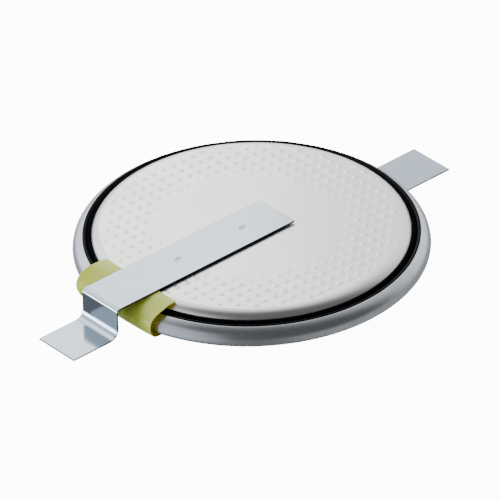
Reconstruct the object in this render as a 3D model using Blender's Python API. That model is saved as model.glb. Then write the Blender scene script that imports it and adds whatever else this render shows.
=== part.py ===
"""Tabbed lithium coin cell, 20 mm across and 1.6 mm thick, in its separate pieces.

Frame: metres, +Z up. The origin is the centre of the can's flat bottom face.
+X points along the two solder tabs, towards the free end of the positive tab.
The negative cap faces up. The negative tab leaves over the -X rim and steps down.

The round pieces are turned from sections in the (radius, height) plane.
The tabs and the insulating tape are strips, bent in the XZ plane and carried across Y.
"""

import math

import bmesh
import bpy

MM = 0.001

# How finely round shapes are divided.
TURN_STEPS = 52
SPOT_STEPS = 16
SECTION_BEND_STEPS = 3
STRIP_BEND_STEPS = 8

# The clearance that every piece keeps to its neighbours.
GAP = 0.012 * MM

# Positive can: a shallow drawn cup whose wall is rolled in over the gasket.
CAN_RADIUS = 10.0 * MM
CAN_WALL = 0.20 * MM
CAN_CORNER_BEND = 0.25 * MM
CAN_CRIMP_HEIGHT = 0.723 * MM
CAN_CRIMP_BEND = 0.69 * MM
CAN_LIP_RADIUS = 9.365 * MM
CAN_LIP_HEIGHT = 1.075 * MM

# Negative cap: a flat top, a rounded shoulder, a neck, a ledge and a short skirt.
CAP_TOP = 1.58 * MM
CAP_WALL = 0.20 * MM
CAP_NECK_RADIUS = 8.88 * MM
CAP_LEDGE_HEIGHT = 0.66 * MM
CAP_SKIRT_RADIUS = 9.35 * MM
CAP_SKIRT_BOTTOM = 0.42 * MM
CAP_SHOULDER_BEND = 0.54 * MM
CAP_LEDGE_BEND = 0.20 * MM
CAP_SKIRT_BEND = 0.15 * MM

# Sealing gasket and the bead of sealant that covers its seam with the can.
GASKET_INNER_RADIUS = 8.95 * MM
GASKET_NECK_TOP = 1.19 * MM
GASKET_CROWN_RADIUS = 9.10 * MM
GASKET_CROWN_TOP = 1.22 * MM
GASKET_SEAT_RADIUS = 9.20 * MM
GASKET_SEAT_HEIGHT = 1.03 * MM
SEALANT_INNER_RADIUS = 9.215 * MM
SEALANT_FOOT_RADIUS = 9.325 * MM
SEALANT_OUTER_RADIUS = 9.405 * MM
SEALANT_INNER_HEIGHT = 1.12 * MM
SEALANT_OUTER_HEIGHT = 1.165 * MM
SEALANT_ARCH = 0.035 * MM

# The stack inside, from the can's floor upwards.
FLOOR_TOP = CAN_WALL
COLLECTOR_RADIUS = 8.50 * MM
COLLECTOR_WALL = 0.12 * MM
COLLECTOR_FOOT = 0.80 * MM
COLLECTOR_TOP = 0.76 * MM
CATHODE_TOP = 0.80 * MM
SEPARATOR_RADIUS = 8.70 * MM
SEPARATOR_THICKNESS = 0.11 * MM
LITHIUM_RADIUS = 8.30 * MM
LITHIUM_TOP = CAP_TOP - CAP_WALL - GAP

# Solder tabs: nickel strip, cut square. Both lie on one line, a little to the -Y side.
TAB_LINE = -0.06 * MM
TAB_WIDTH = 2.94 * MM
TAB_THICKNESS = 0.10 * MM
TAB_FOOT_TOP = -0.04 * MM
NEGATIVE_TAB_TOP = 1.75 * MM
NEGATIVE_TAB_INNER_END = 1.87 * MM
NEGATIVE_TAB_DROP = -11.16 * MM
NEGATIVE_TAB_FOOT_END = -14.38 * MM
NEGATIVE_TAB_TOP_BEND = 0.20 * MM
NEGATIVE_TAB_FOOT_BEND = 0.60 * MM
POSITIVE_TAB_INNER_END = 3.00 * MM
POSITIVE_TAB_FREE_END = 13.62 * MM

# Resistance welds: a nugget between the sheets, and a pit where the electrode pressed.
NUGGET_RADIUS = 0.40 * MM
PIT_RADIUS = 0.25 * MM
PIT_DEPTH = 0.03 * MM
NEGATIVE_WELD_PLACES = {"inner": (-0.68 * MM, -0.09 * MM), "outer": (-5.42 * MM, -0.02 * MM)}
POSITIVE_WELD_PLACES = {"inner": (4.20 * MM, -0.06 * MM), "outer": (8.20 * MM, -0.06 * MM)}

# Insulating tape: a film folded over the rim, under the negative tab.
TAPE_WIDTH = 5.85 * MM
TAPE_THICKNESS = 0.05 * MM
TAPE_INNER_END = -8.15 * MM
TAPE_ON_CAP = 1.617 * MM
TAPE_SHOULDER_X = -8.50 * MM
TAPE_CREASE_X = -9.90 * MM
TAPE_CREASE_HEIGHT = 1.27 * MM
TAPE_FOLD_X = -10.20 * MM
TAPE_FOLD_HEIGHT = 0.45 * MM
TAPE_KNEE_X = -9.90 * MM
TAPE_UNDER_CAN = -0.045 * MM
TAPE_UNDER_END = -8.15 * MM
TAPE_BENDS = [0.30 * MM, 0.25 * MM, 0.30 * MM, 0.10 * MM]


def clear_scene():
    """Remove whatever the scene holds."""
    for item in list(bpy.data.objects):
        bpy.data.objects.remove(item, do_unlink=True)


# Outlines, as lists of (across, up) points


def unit(start, end):
    """Direction from one point to another, as a pair of length 1."""
    across, up = end[0] - start[0], end[1] - start[1]
    length = math.hypot(across, up)
    return across / length, up / length


def bend(before, corner, after, radius, steps=SECTION_BEND_STEPS):
    """Points of the arc that rounds one corner of a path."""
    into = unit(before, corner)
    out = unit(corner, after)
    turn = math.atan2(into[0] * out[1] - into[1] * out[0], into[0] * out[0] + into[1] * out[1])
    reach = radius * abs(math.tan(turn / 2))
    side = math.copysign(1, turn)
    start = (corner[0] - into[0] * reach, corner[1] - into[1] * reach)
    centre = (start[0] - side * radius * into[1], start[1] + side * radius * into[0])
    points = []
    for step in range(steps + 1):
        angle = turn * step / steps
        across, up = start[0] - centre[0], start[1] - centre[1]
        points.append(
            (
                centre[0] + across * math.cos(angle) - up * math.sin(angle),
                centre[1] + across * math.sin(angle) + up * math.cos(angle),
            )
        )
    return points


def bent_path(corners, radii, steps=SECTION_BEND_STEPS):
    """A path through the corners, with each inner corner rounded to its radius."""
    path = [corners[0]]
    for index, radius in enumerate(radii, start=1):
        path += bend(corners[index - 1], corners[index], corners[index + 1], radius, steps)
    path.append(corners[-1])
    return path


def beside(path, distance):
    """The path moved to its left by a distance, or to its right by a negative one."""
    moved = []
    for index, point in enumerate(path):
        into = unit(path[max(index - 1, 0)], path[max(index, 1)])
        last = len(path) - 1
        out = unit(path[min(index, last - 1)], path[min(index + 1, last)])
        across, up = -into[1] - out[1], into[0] + out[0]
        scale = 2 * distance / (across * across + up * up)
        moved.append((point[0] + across * scale, point[1] + up * scale))
    return moved


def sheet_outline(path, thickness):
    """Outline of a sheet that runs along a path: its left side out, its right side back."""
    left = beside(path, thickness / 2)
    right = beside(path, -thickness / 2)
    return left + right[::-1]


def low_arch(start, end, height, steps=2 * SECTION_BEND_STEPS):
    """Points of a low arch from start to end, without the two ends."""
    points = []
    for step in range(1, steps):
        angle = math.pi * step / steps
        share = (1 - math.cos(angle)) / 2
        level = start[1] + (end[1] - start[1]) * share
        points.append((start[0] + (end[0] - start[0]) * share, level + height * math.sin(angle)))
    return points


# Materials


def metal(name, colour, roughness):
    """A metal with one colour and one roughness."""
    return finish(name, colour, roughness, 1.0)


def finish(name, colour, roughness, metallic=0.0):
    """A Principled BSDF with one colour, roughness and metallic value."""
    material = bpy.data.materials.new(name)
    material.use_nodes = True
    shader = material.node_tree.nodes["Principled BSDF"]
    shader.inputs["Base Color"].default_value = (*colour, 1.0)
    shader.inputs["Roughness"].default_value = roughness
    shader.inputs["Metallic"].default_value = metallic
    material.diffuse_color = (*colour, 1.0)
    return material


# Objects


def add_object(name, mesh, material, parent):
    """Put a mesh in the scene with its material, under its parent."""
    item = bpy.data.objects.new(name, mesh)
    mesh.materials.append(material)
    bpy.context.scene.collection.objects.link(item)
    item.parent = parent
    return item


def add_turned(name, section, material, parent, closed=False, steps=TURN_STEPS):
    """Turn a section about the Z axis.

    An open section starts and ends on the axis, and a closed one keeps clear of it.
    Either way the section's outer side runs from top to bottom.
    """
    mesh = bpy.data.meshes.new(name)
    edges = [(index, index + 1) for index in range(len(section) - 1)]
    if closed:
        edges.append((len(section) - 1, 0))
    mesh.from_pydata([(across, 0.0, up) for across, up in section], edges, [])
    item = add_object(name, mesh, material, parent)
    screw = item.modifiers.new("turn", "SCREW")
    screw.steps = steps
    screw.render_steps = steps
    screw.use_merge_vertices = True
    screw.merge_threshold = 1e-7
    screw.use_smooth_shade = True
    return item


def add_strip(name, path, width, thickness, material, parent, line=0.0):
    """Carry a bent sheet across Y, half its width to each side of a line."""
    body = bmesh.new()
    start = line - width / 2
    corners = [body.verts.new((x, start, z)) for x, z in sheet_outline(path, thickness)]
    side = body.faces.new(corners)
    carried = bmesh.ops.extrude_face_region(body, geom=[side])["geom"]
    moved = [part for part in carried if isinstance(part, bmesh.types.BMVert)]
    bmesh.ops.translate(body, vec=(0.0, width, 0.0), verts=moved)
    bmesh.ops.recalc_face_normals(body, faces=body.faces)
    mesh = bpy.data.meshes.new(name)
    body.to_mesh(mesh)
    body.free()
    mesh.shade_smooth()
    mesh.set_sharp_from_angle(angle=math.radians(35))
    return add_object(name, mesh, material, parent)


def press_pit(tab, place, surface, upward):
    """Press one weld pit into the face of a tab, with a shallow cone as the cutter."""
    mesh = bpy.data.meshes.new(f"{tab.name}_pit")
    body = bmesh.new()
    bmesh.ops.create_cone(
        body,
        cap_ends=True,
        segments=SPOT_STEPS // 2,
        radius1=PIT_RADIUS / 2,
        radius2=3 * PIT_RADIUS / 2,
        depth=2 * PIT_DEPTH,
    )
    body.to_mesh(mesh)
    body.free()
    cutter = bpy.data.objects.new(mesh.name, mesh)
    bpy.context.scene.collection.objects.link(cutter)
    cutter.parent = tab.parent
    cutter.location = (*place, surface)
    cutter.rotation_euler = (0.0 if upward else math.pi, 0.0, 0.0)
    cutter.hide_render = True
    cutter.display_type = "WIRE"
    cut = tab.modifiers.new("pit", "BOOLEAN")
    cut.object = cutter
    cut.operation = "DIFFERENCE"
    cut.solver = "EXACT"


# Casing


def can_path(start):
    """Middle line of the can's sheet, from a start radius on its floor to its lip."""
    wall = CAN_RADIUS - CAN_WALL / 2
    corners = [
        (start, CAN_WALL / 2),
        (wall, CAN_WALL / 2),
        (wall, CAN_CRIMP_HEIGHT),
        (CAN_LIP_RADIUS, CAN_LIP_HEIGHT),
    ]
    return bent_path(corners, [CAN_CORNER_BEND, CAN_CRIMP_BEND])


def cap_path(start):
    """Middle line of the cap's sheet below a start point, down to its skirt."""
    corners = [
        (CAP_NECK_RADIUS, CAP_LEDGE_HEIGHT),
        (CAP_SKIRT_RADIUS, CAP_LEDGE_HEIGHT),
        (CAP_SKIRT_RADIUS, CAP_SKIRT_BOTTOM),
    ]
    return bent_path([start] + corners, [CAP_LEDGE_BEND, CAP_SKIRT_BEND])


def cap_section():
    """Outline of the whole cap, from the middle of its top and back to the middle."""
    level = CAP_TOP - CAP_WALL / 2
    shoulder = bend(
        (0.0, level),
        (CAP_NECK_RADIUS, level),
        (CAP_NECK_RADIUS, CAP_LEDGE_HEIGHT),
        CAP_SHOULDER_BEND,
    )
    path = [(0.0, level)] + shoulder + cap_path(shoulder[-1])[1:]
    return sheet_outline(path, CAP_WALL)


def add_positive_can(parent):
    """Stainless can: floor, rounded corner, wall and rolled lip."""
    material = metal("can_steel", (0.42, 0.43, 0.45), 0.34)
    add_turned("positive_can", sheet_outline(can_path(0.0), CAN_WALL), material, parent)


def add_negative_cap(parent):
    """Stainless cap, whose skirt the gasket grips."""
    material = metal("cap_steel", (0.70, 0.69, 0.67), 0.38)
    add_turned("negative_cap", cap_section(), material, parent)


# Seal


def add_sealing_gasket(parent):
    """Moulded ring that fills the space between the cap's skirt and the can's wall."""
    on_cap = beside(cap_path((CAP_NECK_RADIUS, GASKET_NECK_TOP)), CAP_WALL / 2 + GAP)
    on_can = beside(can_path(GASKET_INNER_RADIUS), CAN_WALL / 2 + GAP)
    past_skirt = CAP_SKIRT_BOTTOM - GAP
    inner_edge = [(on_cap[-1][0], past_skirt), (GASKET_INNER_RADIUS, past_skirt)]
    past_lip = [
        (on_can[-1][0] - GAP, GASKET_SEAT_HEIGHT),
        (GASKET_SEAT_RADIUS, GASKET_SEAT_HEIGHT),
        (GASKET_CROWN_RADIUS, GASKET_CROWN_TOP),
    ]
    section = on_cap[:-1] + inner_edge + on_can + past_lip
    material = finish("gasket_black", (0.012, 0.012, 0.014), 0.30)
    add_turned("sealing_gasket", section[::-1], material, parent, closed=True)


def add_sealant_ring(parent):
    """Bead of pitch that closes the seam between the gasket and the can's lip."""
    foot = GASKET_SEAT_HEIGHT + GAP
    left = (SEALANT_INNER_RADIUS, SEALANT_INNER_HEIGHT)
    right = (SEALANT_OUTER_RADIUS, SEALANT_OUTER_HEIGHT)
    arch = low_arch(left, right, SEALANT_ARCH)
    floor = [(SEALANT_FOOT_RADIUS, foot), (SEALANT_INNER_RADIUS, foot)]
    section = [left] + arch + [right] + floor
    material = finish("sealant_black", (0.008, 0.008, 0.009), 0.18)
    add_turned("sealant_ring", section, material, parent, closed=True)


# Stack


def disc_section(radius, bottom, top):
    """Section of a plain disc, from the middle of its top to the middle of its bottom."""
    return [(0.0, top), (radius, top), (radius, bottom), (0.0, bottom)]


def add_collector_ring(parent):
    """Steel ring of L section that holds the cathode's rim and carries its current."""
    outer = COLLECTOR_RADIUS
    inner = outer - COLLECTOR_WALL
    bottom = FLOOR_TOP + GAP
    flange = bottom + COLLECTOR_WALL
    section = [
        (inner, COLLECTOR_TOP),
        (outer, COLLECTOR_TOP),
        (outer, bottom),
        (outer - COLLECTOR_FOOT, bottom),
        (outer - COLLECTOR_FOOT, flange),
        (inner, flange),
    ]
    material = metal("collector_steel", (0.55, 0.56, 0.57), 0.30)
    add_turned("collector_ring", section, material, parent, closed=True)


def add_cathode_pellet(parent):
    """Pressed manganese dioxide pellet, stepped to sit in the collector ring."""
    rim = COLLECTOR_RADIUS - COLLECTOR_WALL - GAP
    step = COLLECTOR_RADIUS - COLLECTOR_FOOT - GAP
    bottom = FLOOR_TOP + GAP
    ledge = bottom + COLLECTOR_WALL + GAP
    section = [(0.0, CATHODE_TOP), (rim, CATHODE_TOP), (rim, ledge), (step, ledge), (step, bottom)]
    material = finish("cathode_mix", (0.025, 0.024, 0.023), 0.85)
    add_turned("cathode_pellet", section + [(0.0, bottom)], material, parent)


def add_separator(parent):
    """Disc of polypropylene felt that keeps the electrodes apart and holds the electrolyte."""
    bottom = CATHODE_TOP + GAP
    section = disc_section(SEPARATOR_RADIUS, bottom, bottom + SEPARATOR_THICKNESS)
    material = finish("separator_felt", (0.86, 0.86, 0.83), 0.92)
    add_turned("separator", section, material, parent)


def add_lithium_anode(parent):
    """Disc of lithium foil pressed against the inside of the cap."""
    bottom = CATHODE_TOP + SEPARATOR_THICKNESS + 2 * GAP
    material = metal("lithium_metal", (0.66, 0.66, 0.68), 0.45)
    add_turned("lithium_anode", disc_section(LITHIUM_RADIUS, bottom, LITHIUM_TOP), material, parent)


# Tabs


def add_nugget(name, place, bottom, top, material, parent):
    """One weld nugget: a thin lens between a tab and the casing."""
    low, high = bottom + GAP / 2, top - GAP / 2
    waist = (low + high) / 2
    section = [(0.0, high), (0.8 * NUGGET_RADIUS, high), (NUGGET_RADIUS, waist)]
    section += [(0.8 * NUGGET_RADIUS, low), (0.0, low)]
    nugget = add_turned(name, section, material, parent, steps=SPOT_STEPS)
    nugget.location = (*place, 0.0)


def add_negative_tab(parent):
    """Strip that lies on the cap, passes the rim and steps down to a foot."""
    top = NEGATIVE_TAB_TOP - TAB_THICKNESS / 2
    foot = TAB_FOOT_TOP - TAB_THICKNESS / 2
    corners = [
        (NEGATIVE_TAB_INNER_END, top),
        (NEGATIVE_TAB_DROP, top),
        (NEGATIVE_TAB_DROP, foot),
        (NEGATIVE_TAB_FOOT_END, foot),
    ]
    radii = [NEGATIVE_TAB_TOP_BEND, NEGATIVE_TAB_FOOT_BEND]
    path = bent_path(corners, radii, STRIP_BEND_STEPS)
    material = metal("negative_tab_nickel", (0.66, 0.68, 0.70), 0.32)
    tab = add_strip(
        "negative_tab", path, TAB_WIDTH, TAB_THICKNESS, material, parent, line=TAB_LINE
    )
    for place in NEGATIVE_WELD_PLACES.values():
        press_pit(tab, place, NEGATIVE_TAB_TOP, upward=True)


def add_positive_tab(parent):
    """Straight strip under the can, whose free end stands out past the rim."""
    level = TAB_FOOT_TOP - TAB_THICKNESS / 2
    path = [(POSITIVE_TAB_INNER_END, level), (POSITIVE_TAB_FREE_END, level)]
    material = metal("positive_tab_nickel", (0.66, 0.68, 0.70), 0.34)
    tab = add_strip(
        "positive_tab", path, TAB_WIDTH, TAB_THICKNESS, material, parent, line=TAB_LINE
    )
    for place in POSITIVE_WELD_PLACES.values():
        press_pit(tab, place, TAB_FOOT_TOP - TAB_THICKNESS, upward=False)


def add_welds(parent):
    """Two nuggets that hold each tab to its half of the casing."""
    material = metal("weld_metal", (0.50, 0.50, 0.50), 0.50)
    for label, place in NEGATIVE_WELD_PLACES.items():
        tab_bottom = NEGATIVE_TAB_TOP - TAB_THICKNESS
        add_nugget(f"negative_weld_{label}", place, CAP_TOP, tab_bottom, material, parent)
    for label, place in POSITIVE_WELD_PLACES.items():
        add_nugget(f"positive_weld_{label}", place, TAB_FOOT_TOP, 0.0, material, parent)


# Insulation


def add_insulating_tape(parent):
    """Film folded over the rim, which keeps the negative tab off the can."""
    corners = [
        (TAPE_INNER_END, TAPE_ON_CAP),
        (TAPE_SHOULDER_X, TAPE_ON_CAP),
        (TAPE_CREASE_X, TAPE_CREASE_HEIGHT),
        (TAPE_FOLD_X, TAPE_FOLD_HEIGHT),
        (TAPE_KNEE_X, TAPE_UNDER_CAN),
        (TAPE_UNDER_END, TAPE_UNDER_CAN),
    ]
    path = bent_path(corners, TAPE_BENDS, STRIP_BEND_STEPS)
    material = finish("tape_film", (0.55, 0.58, 0.16), 0.30)
    add_strip("insulating_tape", path, TAPE_WIDTH, TAPE_THICKNESS, material, parent)


def main():
    """Build the whole cell."""
    clear_scene()
    cell = bpy.data.objects.new("coin_cell", None)
    bpy.context.scene.collection.objects.link(cell)
    add_positive_can(cell)
    add_collector_ring(cell)
    add_cathode_pellet(cell)
    add_separator(cell)
    add_lithium_anode(cell)
    add_sealing_gasket(cell)
    add_negative_cap(cell)
    add_sealant_ring(cell)
    add_insulating_tape(cell)
    add_negative_tab(cell)
    add_positive_tab(cell)
    add_welds(cell)


main()
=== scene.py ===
"""Visual model of a tabbed lithium coin cell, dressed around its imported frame.

The classes hold lengths in millimetres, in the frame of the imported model: the origin is the centre
of the can's flat bottom, +Z points out through the cap and +X runs along the two tabs. Each mesh is
stored in metres. Round pieces are sections turned about Z; tabs and tape are sheets on a grid.
"""

from __future__ import annotations

import logging
import math
from dataclasses import dataclass, field
from enum import Enum
from functools import cache, reduce
from typing import Sequence

import bpy
import numpy as np
from mathutils import Matrix, Vector
from numpy.typing import NDArray


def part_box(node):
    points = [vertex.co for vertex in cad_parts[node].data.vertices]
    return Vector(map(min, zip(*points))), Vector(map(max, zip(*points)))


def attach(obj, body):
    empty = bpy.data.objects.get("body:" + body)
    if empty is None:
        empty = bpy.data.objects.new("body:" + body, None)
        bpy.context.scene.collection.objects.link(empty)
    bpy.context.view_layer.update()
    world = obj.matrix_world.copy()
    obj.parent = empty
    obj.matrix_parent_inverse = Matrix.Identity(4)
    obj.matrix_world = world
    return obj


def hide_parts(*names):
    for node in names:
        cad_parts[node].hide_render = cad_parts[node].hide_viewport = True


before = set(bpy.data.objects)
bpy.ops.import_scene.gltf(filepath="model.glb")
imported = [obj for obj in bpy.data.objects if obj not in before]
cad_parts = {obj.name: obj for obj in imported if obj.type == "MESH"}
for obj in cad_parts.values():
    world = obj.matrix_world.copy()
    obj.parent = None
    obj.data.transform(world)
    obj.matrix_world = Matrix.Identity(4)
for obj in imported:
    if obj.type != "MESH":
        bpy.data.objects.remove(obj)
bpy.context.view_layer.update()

Array = NDArray[np.float64]
Colour = tuple[float, float, float]
Pair = tuple[float, float]
Socket = bpy.types.NodeSocket

MM = 0.001
BODY = "root"
ON_AXIS = 1e-9
WAVES = 8
WAVE_SHARE = 3.0

log = logging.getLogger("coin_cell")


# Reading the frame


def low(node: str, axis: int) -> float:
    """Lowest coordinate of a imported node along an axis, in millimetres."""
    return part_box(node)[0][axis] / MM


def high(node: str, axis: int) -> float:
    """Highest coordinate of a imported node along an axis, in millimetres."""
    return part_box(node)[1][axis] / MM


def middle_of(node: str) -> Pair:
    """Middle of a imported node's box, across and along the floor, in millimetres."""
    return (low(node, 0) + high(node, 0)) / 2.0, (low(node, 1) + high(node, 1)) / 2.0


# Curves in a plane, as (n, 2) arrays of (across, up)


def smooth_step(start: float, end: float, value: Array) -> Array:
    """Ease from 0 at start to 1 at end by 3t^2 - 2t^3, with t held between 0 and 1."""
    t = np.clip((value - start) / (end - start), 0.0, 1.0)
    return t * t * (3.0 - 2.0 * t)


def arc(centre: Array, arm: Array, turn: float, steps: int) -> Array:
    """Points of an arc.

    The arm is turned about the centre by equal steps of the whole turn.

    Args:
        centre: Centre of the arc.
        arm: Vector from the centre to the first point.
        turn: Whole turn in radians, positive to the left.
        steps: Number of steps.

    Returns:
        The steps + 1 points.
    """
    angle = np.linspace(0.0, turn, steps + 1)[:, None]
    square = np.array([-arm[1], arm[0]])
    return centre + arm * np.cos(angle) + square * np.sin(angle)


def rounded_path(corners: Sequence[Pair], radii: Sequence[float], steps: int = 12) -> Array:
    """A path through corners, each inner one rounded by an arc of its radius.

    An arc of radius r and turn a starts r tan(a/2) before its corner. A point a little before
    and after each arc keeps the shading of the straight runs flat.

    Args:
        corners: Corner points, in order.
        radii: Radius at each inner corner.
        steps: Steps of each arc.

    Returns:
        The points of the path.
    """
    points = np.asarray(corners, float)
    runs = [points[:1]]
    for before, corner, after, radius in zip(points, points[1:], points[2:], radii):
        into = (corner - before) / np.linalg.norm(corner - before)
        out = (after - corner) / np.linalg.norm(after - corner)
        turn = math.atan2(into[0] * out[1] - into[1] * out[0], into @ out)
        reach = radius * abs(math.tan(turn / 2.0))
        arm = math.copysign(radius, turn) * np.array([into[1], -into[0]])
        start = corner - into * reach
        support = min(0.03, 0.2 * reach)
        bend = arc(start - arm, arm, turn, steps)
        runs += [start[None] - into * support, bend, bend[-1:] + out * support]
    return np.vstack(runs + [points[-1:]])


def beside(path: Array, distance: float) -> Array:
    """The path moved to its left: each point goes along the mean of its two runs' left normals."""
    run = np.diff(path, axis=0)
    run /= np.linalg.norm(run, axis=1, keepdims=True)
    both = np.vstack([run[:1], run]) + np.vstack([run, run[-1:]])
    left = np.stack([-both[:, 1], both[:, 0]], axis=1)
    return path + left * (2.0 * distance / (left**2).sum(axis=1))[:, None]


def cut_short(path: Array, length: float) -> Array:
    """The path without a length at its end."""
    steps = np.linalg.norm(np.diff(path, axis=0), axis=1)
    run = np.concatenate([[0.0], np.cumsum(steps)])
    stop = run[-1] - length
    end = [np.interp(stop, run, path[:, 0]), np.interp(stop, run, path[:, 1])]
    return np.vstack([path[run < stop - 0.1 * length], end])


def round_end(path: Array, thickness: float, steps: int = 8) -> Array:
    """Half circle round the last point of a path, from its left side to its right side."""
    run = (path[-1] - path[-2]) / np.linalg.norm(path[-1] - path[-2])
    left = np.array([-run[1], run[0]]) * thickness / 2.0
    return arc(path[-1], left, -math.pi, steps)[1:-1]


def sheet_section(path: Array, thickness: float) -> Array:
    """Outline of a sheet: out along its left side, round its end and back along its right.

    A path that starts on the axis gives an open outline from axis to axis. Any other path gets a
    round start as well, and its outline closes on itself. The round ends stay within the path.
    """
    half = thickness / 2.0
    path = cut_short(path, half)
    hoop = path[0, 0] > ON_AXIS
    if hoop:
        path = cut_short(path[::-1], half)[::-1]
    outline = [beside(path, half), round_end(path, thickness), beside(path, -half)[::-1]]
    if hoop:
        outline.append(round_end(path[::-1], thickness))
    return np.vstack(outline)


def spaced(length: float, step: float, margin: float) -> Array:
    """Places from 0 to a length, even in the middle and closing up towards both ends.

    In the margins they stand at margin (1 - cos t), for t in equal steps up to a right angle.
    """
    closing = margin * (1.0 - np.cos(np.linspace(0.0, math.pi / 2.0, 6)))
    count = max(int(round((length - 2.0 * margin) / step)), 2)
    middle = np.linspace(margin, length - margin, count + 1)[1:-1]
    return np.concatenate([closing, middle, length - closing[::-1]])


def ripple(x: Array, y: Array, pitch: float, seed: int) -> Array:
    """A smooth irregular field between about -1 and 1: eight plane cosine waves, added and scaled.

    Args:
        x: Coordinates across.
        y: Coordinates up.
        pitch: Mean wavelength.
        seed: Seed of the waves' directions, lengths and phases.

    Returns:
        The field at each point.
    """
    draw = np.random.default_rng(seed)
    heading = draw.uniform(0.0, math.tau, WAVES)
    number = math.tau / (pitch * draw.uniform(0.7, 1.4, WAVES))
    phase = draw.uniform(0.0, math.tau, WAVES)
    along = x[..., None] * np.cos(heading) + y[..., None] * np.sin(heading)
    return np.cos(along * number + phase).sum(axis=-1) / WAVE_SHARE


# Closed surfaces


@dataclass
class Surface:
    """One closed surface: points in millimetres, faces, and what the finishes read from it."""

    points: Array
    quads: Array
    triangles: Array = field(default_factory=lambda: np.zeros((0, 3), int))
    fields: dict[str, Array] = field(default_factory=dict)
    inner_from: int = 0

    def mesh(self, name: str, two_finishes: bool = False) -> bpy.types.Mesh:
        """Blender mesh in metres, smooth, with the fields as attributes of its points."""
        mesh = bpy.data.meshes.new(name)
        faces = self.quads.tolist() + self.triangles.tolist()
        mesh.from_pydata((self.points * MM).tolist(), [], faces)
        mesh.shade_smooth()
        for label, values in self.fields.items():
            kind, key = ("FLOAT_VECTOR", "vector") if values.ndim == 2 else ("FLOAT", "value")
            held = mesh.attributes.new(label, kind, "POINT")
            held.data.foreach_set(key, values.ravel().astype(np.float32))
        if two_finishes:
            side = np.zeros(len(faces), np.int32)
            side[self.inner_from :] = 1
            mesh.polygons.foreach_set("material_index", side)
        mesh.update()
        return mesh


def grid_quads(index: Array) -> Array:
    """Quads between neighbours of an index grid, facing rows x columns."""
    corners = [index[:-1, :-1], index[1:, :-1], index[1:, 1:], index[:-1, 1:]]
    return np.stack(corners, axis=-1).reshape(-1, 4)


def turned_grid(section: Array, steps: int) -> Array:
    """A section carried round Z: the point (r, z) goes to (r cos a, r sin a, z) at each angle a.

    Args:
        section: Points (radius, height), with the outer side running downwards.
        steps: Number of equal steps in the whole turn.

    Returns:
        Points in an array of (section point, step, 3).
    """
    angle = np.arange(steps) * (math.tau / steps)
    radius, height = section[:, :1], section[:, 1:]
    level = height + 0.0 * angle
    return np.stack([radius * np.cos(angle), radius * np.sin(angle), level], axis=-1)


def turned_surface(grid: Array) -> Surface:
    """Closes a turned grid: its last step meets its first, and its ends meet the axis or each other.

    A ring of no radius at an end becomes one pole with a fan of triangles. A grid without such
    rings is a hoop, whose last ring joins its first.
    """
    radius = np.hypot(grid[..., 0], grid[..., 1]).max(axis=1)
    rings = grid[radius > ON_AXIS]
    index = np.arange(rings.shape[0] * rings.shape[1]).reshape(rings.shape[:2])
    index = np.hstack([index, index[:, :1]])
    points = rings.reshape(-1, 3)
    if len(rings) == len(grid):
        return Surface(points, grid_quads(np.vstack([index, index[:1]])))
    poles = np.array([grid[0].mean(axis=0), grid[-1].mean(axis=0)])
    top, bottom = len(points), len(points) + 1
    first, last = index[0], index[-1]
    fans = [
        np.stack([np.full(len(first) - 1, top), first[:-1], first[1:]], axis=1),
        np.stack([np.full(len(last) - 1, bottom), last[1:], last[:-1]], axis=1),
    ]
    return Surface(np.vstack([points, poles]), grid_quads(index), np.vstack(fans))


def edge_profile(distance: Array, radius: float) -> Array:
    """Share of the full thickness near a cut edge: (1 - (1 - d/r)^4)^(1/4), and 1 past r."""
    left = 1.0 - np.clip(distance / radius, 0.0, 1.0)
    return (1.0 - left**4) ** 0.25


def to_end(places: Array) -> Array:
    """Distance from each place on a run to the run's nearer end."""
    return np.minimum(places, places[-1] - places)


def half_thickness(along: Array, across: Array, thickness: float, radius: float) -> Array:
    """Half thickness of a sheet on its grid, rounded off to nothing at its edges."""
    ends, sides = edge_profile(to_end(along), radius), edge_profile(to_end(across), radius)
    return thickness / 2.0 * (ends[:, None] * sides[None])


def swept(x: Array, y: Array, z: Array) -> Array:
    """Points of a sheet, from x and z by row or by point and y by column."""
    grid = np.empty((len(x), len(y), 3))
    grid[..., 0], grid[..., 1], grid[..., 2] = x, y, z
    return grid


def strip_place(along: Array, y: Array) -> Array:
    """Place of each point on the flat strip in metres, which the grain follows."""
    return swept(along[:, None] * MM, y * MM, 0.0 * along[:, None])


def sheet_surface(middle: Array, half: Array, relief: Array, fields: dict[str, Array]) -> Surface:
    """Closed sheet about a middle surface: M + (h + e) n outside and M - h n inside.

    The two faces share the points of the border, where the half thickness h is 0. The normal n is
    the cross product of the grid's two directions.

    Args:
        middle: Middle surface, (rows, columns, 3).
        half: Half thickness h on the grid, 0 on its border.
        relief: Extra height e of the outer face on the grid.
        fields: Values on the grid that the finish reads.

    Returns:
        The closed surface, with the inner face's quads last.
    """
    rows, columns = half.shape
    normal = np.cross(np.gradient(middle, axis=0), np.gradient(middle, axis=1))
    normal /= np.linalg.norm(normal, axis=-1, keepdims=True)
    outer = middle + normal * (half + relief)[..., None]
    inner = middle - normal * half[..., None]
    above = np.arange(rows * columns).reshape(rows, columns)
    below = above.copy()
    below[1:-1, 1:-1] = rows * columns + np.arange((rows - 2) * (columns - 2)).reshape(rows - 2, -1)
    points = np.vstack([outer.reshape(-1, 3), inner[1:-1, 1:-1].reshape(-1, 3)])
    facing, backing = grid_quads(above), grid_quads(below)[:, ::-1]
    joined = {}
    for label, held in fields.items():
        faces = [held.reshape(rows * columns, -1), held[1:-1, 1:-1].reshape(-1, held[0, 0].size)]
        joined[label] = np.concatenate(faces).squeeze()
    return Surface(points, np.vstack([facing, backing]), fields=joined, inner_from=len(facing))


# Finishes


class Lay(Enum):
    """How the grain of a finish lies."""

    EVEN = "even"
    UPRIGHT = "upright"
    ALONG = "along"


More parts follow.
